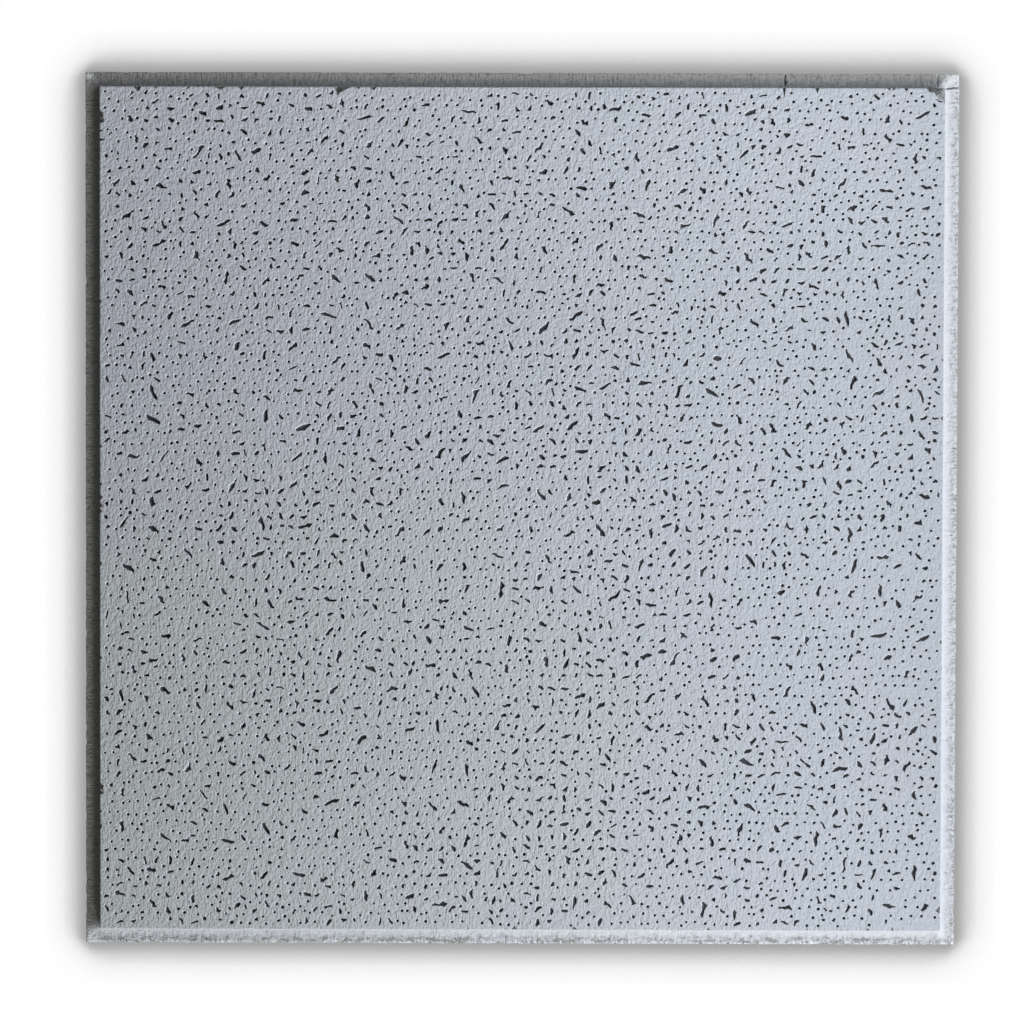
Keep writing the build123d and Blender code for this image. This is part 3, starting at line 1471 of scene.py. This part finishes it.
    def torn(self, sheet: NodeSheet, sizes: BoardSizes, pores: Socket) -> Socket:
        """The tone of torn places above the ledge: fibre darkened as painted shade in nicks and the corner's
        hollow, pale on its flake.

        The flake is what lies further below the top rim than d (1 - (u / w)^2), with u along X from the
        hollow's middle, d the hollow's depth and w its half width. A near-black line runs between, the
        painted shadow of a crack.

        Args:
            sheet: the material's nodes.
            sizes: the board's sizes.
            pores: the fine grain.

        Returns:
            The colour.
        """
        rim_x, rim_y = sizes.rim_half * MM
        x, y = sheet.axis(0), sheet.axis(1)
        from_middle = sheet.less(x, float(rim_x) - self.hollow_inset * MM)
        share = sheet.math("DIVIDE", from_middle, self.hollow_half * MM)
        scoop = sheet.less(1.0, sheet.times(share, share))
        ragged_scoop = sheet.plus(scoop, sheet.less(pores, 0.5))
        bound = sheet.times(ragged_scoop, self.hollow_depth * MM)
        past = sheet.less(sheet.less(float(rim_y), y), bound)
        near = [
            sheet.ramp(place, float(rim) - (self.flake_reach + 1.0) * MM, float(rim) - self.flake_reach * MM)
            for place, rim in ((x, rim_x), (y, rim_y))
        ]
        near_corner = sheet.times(*near)
        # Painted shade: the hollow's fibre near black in its pores.
        dark = sheet.mix(sheet.ramp(pores, 0.36, 0.6), self.cleft_shade, self.torn_fibre_and_shade)
        pale = sheet.brighten(self.flake, sheet.ramp(pores, 0.35, 0.65, 0.7, 1.35))
        tone = sheet.mix(sheet.times(sheet.ramp(past, -0.3 * MM, 0.5 * MM), near_corner), dark, pale)
        # Painted shadow of a crack along the flake's edge.
        seam = sheet.ramp(sheet.math("ABSOLUTE", past), 0.15 * MM, 0.7 * MM, 0.9, 0.0)
        return sheet.mix(sheet.times(seam, near_corner), tone, self.cleft_shade)

    @staticmethod
    def stains(sheet: NodeSheet, across: Socket, lower: Socket, edge_place: Socket) -> Socket:
        """How dark the ledge's outer half is: broad patches on the bottom ledge, small specks on the others.

        Args:
            sheet: the material's nodes.
            across: the way across the ledge, from 0 at the wall's foot.
            lower: 1 on the bottom ledge.
            edge_place: coordinates that follow the outline.

        Returns:
            The share of the stain's tone.
        """
        patches = sheet.ramp(sheet.noise((7.0, 3.0, 4.0), 3.0, 0.65, edge_place), 0.46, 0.6, 0.0, 0.85)
        patches = sheet.times(patches, sheet.ramp(across, 0.42, 0.72))
        specks = sheet.ramp(sheet.noise((2.2, 2.2, 3.0), 3.0, 0.65), 0.49, 0.66, 0.0, 0.7)
        specks = sheet.times(specks, sheet.ramp(across, 0.3, 0.95))
        broad = sheet.times(lower, patches)
        return sheet.plus(broad, sheet.times(sheet.less(1.0, lower), specks))

    @staticmethod
    def regions(sheet: NodeSheet, sizes: BoardSizes) -> tuple[Socket, ...]:
        """Where a place lies on the ledge, with a ragged border.

        Args:
            sheet: the material's nodes.
            sizes: the board's sizes.

        Returns:
            The way across the ledge, 0 at the wall's foot and 1 at the outer edge; 1 on the right and bottom
            ledges, which the paint was blown over and which keep the lit fibre tone, and 0 on the other two,
            which take the painted shade; 1 on the bottom ledge; 1 at the outer corners, less at the lower
            right; and 1 up to just inside the outer edge.
        """
        x, y = sheet.axis(0), sheet.axis(1)
        x_far, y_far = sheet.math("ABSOLUTE", x), sheet.math("ABSOLUTE", y)
        drift = sheet.times(sheet.less(sheet.noise((4.0, 4.0, 4.0), 3.0), 0.5), 8 * MM)
        foot, outer = (sizes.half_width - sizes.ledge) * MM, sizes.half_width * MM
        far = sheet.math("MAXIMUM", x_far, y_far)
        across = sheet.ramp(sheet.plus(far, drift), foot, outer)
        slant = sheet.less(x, y)
        # Right and bottom ledges: blown paint, and the lit fibre tone where the other two carry painted
        # shade.
        sprayed_and_lit = sheet.ramp(sheet.plus(slant, drift), -9 * MM, 3 * MM)
        lower = sheet.ramp(sheet.plus(y, drift), -foot - 2 * MM, -foot + 4 * MM, 1.0, 0.0)
        least = sheet.plus(sheet.math("MINIMUM", x_far, y_far), drift)
        reach = sheet.ramp(slant, -outer - foot, -outer, outer - 9 * MM, outer - 15 * MM)
        corner = sheet.ramp(least, reach, outer - 1 * MM)
        corner = sheet.times(corner, sheet.ramp(slant, 2 * foot - 8 * MM, 2 * foot, 1.0, 0.15))
        inside = sheet.ramp(far, outer - 1.8 * MM, outer - 0.9 * MM, 1.0, 0.0)
        return across, sprayed_and_lit, lower, corner, inside


@dataclass(frozen=True)
class Studio:
    """A white floor that keeps the board's shadow, a low sun, a strip lamp on the right and a soft fill."""

    sun_azimuth: float = -70.0
    sun_elevation: float = 21.5
    sun_spread: float = 9.0
    sun_strength: float = 1.45
    sun_colour: Colour = (1.0, 1.0, 1.0)
    strip_place: Triple = (431.0, -66.0, 541.0)
    strip_tilt: float = 60.8
    strip_size: tuple[float, float] = (120.0, 1732.0)
    strip_power: float = 8.4
    strip_colour: Colour = (0.98, 1.0, 1.04)
    fill_colour: Colour = (1.04, 1.0, 0.95)
    fill_strength: float = 0.17
    floor_half: float = 6000.0
    floor_drop: float = 0.2
    floor_tone: Colour = (0.8, 0.8, 0.8)
    floor_roughness: float = 1.0
    shadow_reach: float = 30.0
    shadow_samples: int = 24

    def build(self) -> None:
        """Make the floor, the lamps and the world."""
        self.floor()
        self.sun()
        self.strip()
        self.world()

    def floor(self) -> None:
        """A level sheet under the board, white to the eye, darkened where the board hides the sky."""
        reach = self.floor_half * MM
        corners = [(-reach, -reach), (reach, -reach), (reach, reach), (-reach, reach)]
        mesh = bpy.data.meshes.new("floor")
        mesh.from_pydata([(x, y, -self.floor_drop * MM) for x, y in corners], [], [(0, 1, 2, 3)])
        floor = add_object("floor", mesh)
        sheet = NodeSheet(bpy.data.materials.new("floor_white"))
        hidden = sheet.add("ShaderNodeAmbientOcclusion", samples=self.shadow_samples)
        sheet.feed(hidden.inputs["Distance"], self.shadow_reach * MM)
        shade = sheet.add("ShaderNodeValToRGB")
        stops = (
            (0.45, 0.34), (0.73, 0.4), (0.85, 0.485), (0.91, 0.6),
            (0.945, 0.75), (0.967, 0.89), (0.985, 0.98), (1.0, 1.0),
        )
        while len(shade.color_ramp.elements) < len(stops):
            shade.color_ramp.elements.new(0.5)
        for element, (position, tone) in zip(shade.color_ramp.elements, stops):
            element.position = position
            element.color = (tone, tone, tone, 1.0)
        sheet.feed(shade.inputs["Fac"], hidden.outputs["AO"])
        glow = sheet.add("ShaderNodeEmission")
        sheet.feed(glow.inputs["Color"], shade.outputs["Color"])
        dull = sheet.tree.nodes["Principled BSDF"]
        sheet.feed_colour(dull.inputs["Base Color"], self.floor_tone)
        sheet.feed(dull.inputs["Roughness"], self.floor_roughness)
        self.show(sheet, "Material Output", dull, glow)
        mesh.materials.append(sheet.owner)

    @staticmethod
    def show(sheet: NodeSheet, output: str, dull: bpy.types.Node, white: bpy.types.Node) -> None:
        """Put out white for what the camera sees, straight or in a gloss or through glass, and else dull.

        Args:
            sheet: the nodes of the floor or the world.
            output: the name of their last node.
            dull: the shader that lights the board.
            white: the shader that the camera sees.
        """
        path = sheet.add("ShaderNodeLightPath")
        seen = path.outputs["Is Camera Ray"]
        for name in ("Is Glossy Ray", "Is Transmission Ray"):
            seen = sheet.math("MAXIMUM", seen, path.outputs[name])
        blend = sheet.add("ShaderNodeMixShader")
        for socket, value in zip(blend.inputs, (seen, dull.outputs[0], white.outputs[0])):
            sheet.feed(socket, value)
        sheet.feed(sheet.tree.nodes[output].inputs["Surface"], blend.outputs["Shader"])

    def sun(self) -> None:
        """Low slanting light that brings out the grain and the holes' lit lips."""
        lamp = bpy.data.lights.new("sun", "SUN")
        lamp.energy = self.sun_strength
        lamp.angle = math.radians(self.sun_spread)
        lamp.color = self.sun_colour
        sun = add_object("sun", lamp)
        sun.rotation_euler = (0.0, math.radians(90.0 - self.sun_elevation), math.radians(self.sun_azimuth))

    def strip(self) -> None:
        """A long lamp over the right side, along Y, tilted towards the board and hidden from the camera."""
        lamp = bpy.data.lights.new("strip", "AREA")
        lamp.shape = "RECTANGLE"
        lamp.size, lamp.size_y = (length * MM for length in self.strip_size)
        lamp.energy = self.strip_power
        lamp.color = self.strip_colour
        strip = add_object("strip", lamp)
        strip.location = Vector(self.strip_place) * MM
        strip.rotation_euler = (0.0, math.radians(self.strip_tilt), 0.0)
        strip.visible_camera = False

    def world(self) -> None:
        """An even sky that fills the shadows and is white to the camera."""
        world = bpy.data.worlds.new("studio")
        bpy.context.scene.world = world
        sheet = NodeSheet(world)
        sky = sheet.tree.nodes["Background"]
        sheet.feed_colour(sky.inputs["Color"], self.fill_colour)
        sheet.feed(sky.inputs["Strength"], self.fill_strength)
        white = sheet.add("ShaderNodeBackground")
        sheet.feed_colour(white.inputs["Color"], (1.0, 1.0, 1.0))
        self.show(sheet, "World Output", sky, white)


@dataclass(frozen=True)
class PhotoCamera:
    """The photograph's viewpoint: high over the board, a little above its middle and tipped back to it."""

    place: Triple = (-2.3, 48.1, 2000.0)
    tilt_degrees: Triple = (-1.427, 0.116, 0.157)
    focal_pixels: float = 2920.7
    image_pixels: float = 1024.0
    sensor: float = 36.0

    def build(self) -> None:
        """Make the camera and use it."""
        lens = bpy.data.cameras.new("camera")
        lens.sensor_width = self.sensor
        lens.lens = self.focal_pixels / self.image_pixels * self.sensor
        camera = add_object("camera", lens)
        camera.location = Vector(self.place) * MM
        camera.rotation_euler = [math.radians(angle) for angle in self.tilt_degrees]
        bpy.context.scene.camera = camera


def main() -> None:
    """Build the board, dress it, and set the studio and the camera."""
    logging.basicConfig(level=logging.INFO, format="%(message)s")
    bpy.context.scene.view_settings.view_transform = "Standard"
    sizes = BoardSizes.from_frame(frame["record"])
    edge = StepEdge(nicks=(*RIM_NICKS, *scattered_nicks(sizes)), cracks=LEDGE_CRACKS, chip=CornerChip())
    tile = TileBoard(sizes, edge, LongFissures(), ShortFissures(), PinHoles(), CornerCrack())
    board = tile.build()
    # Tear fibre darkened as painted shade, like the holes'.
    torn_fibre_and_shade = (0.062, 0.067, 0.076)
    finishes = {
        Skin.PAINT: FacePaint().material(),
        Skin.PRICK: HoleFibre("prick_fibre", paint_reach=0.64).material(sizes.thickness),
        Skin.TEAR: HoleFibre("tear_fibre", paint_reach=0.4, fibre=torn_fibre_and_shade).material(sizes.thickness),
        Skin.FIBRE: EdgeFibre().material(sizes),
    }
    tile.dress(board, [finishes[skin] for skin in Skin])
    LOG.info("%s: %d triangles", board.name, len(board.data.polygons))
    Studio().build()
    PhotoCamera().build()


if __name__ == "__main__":
    main()
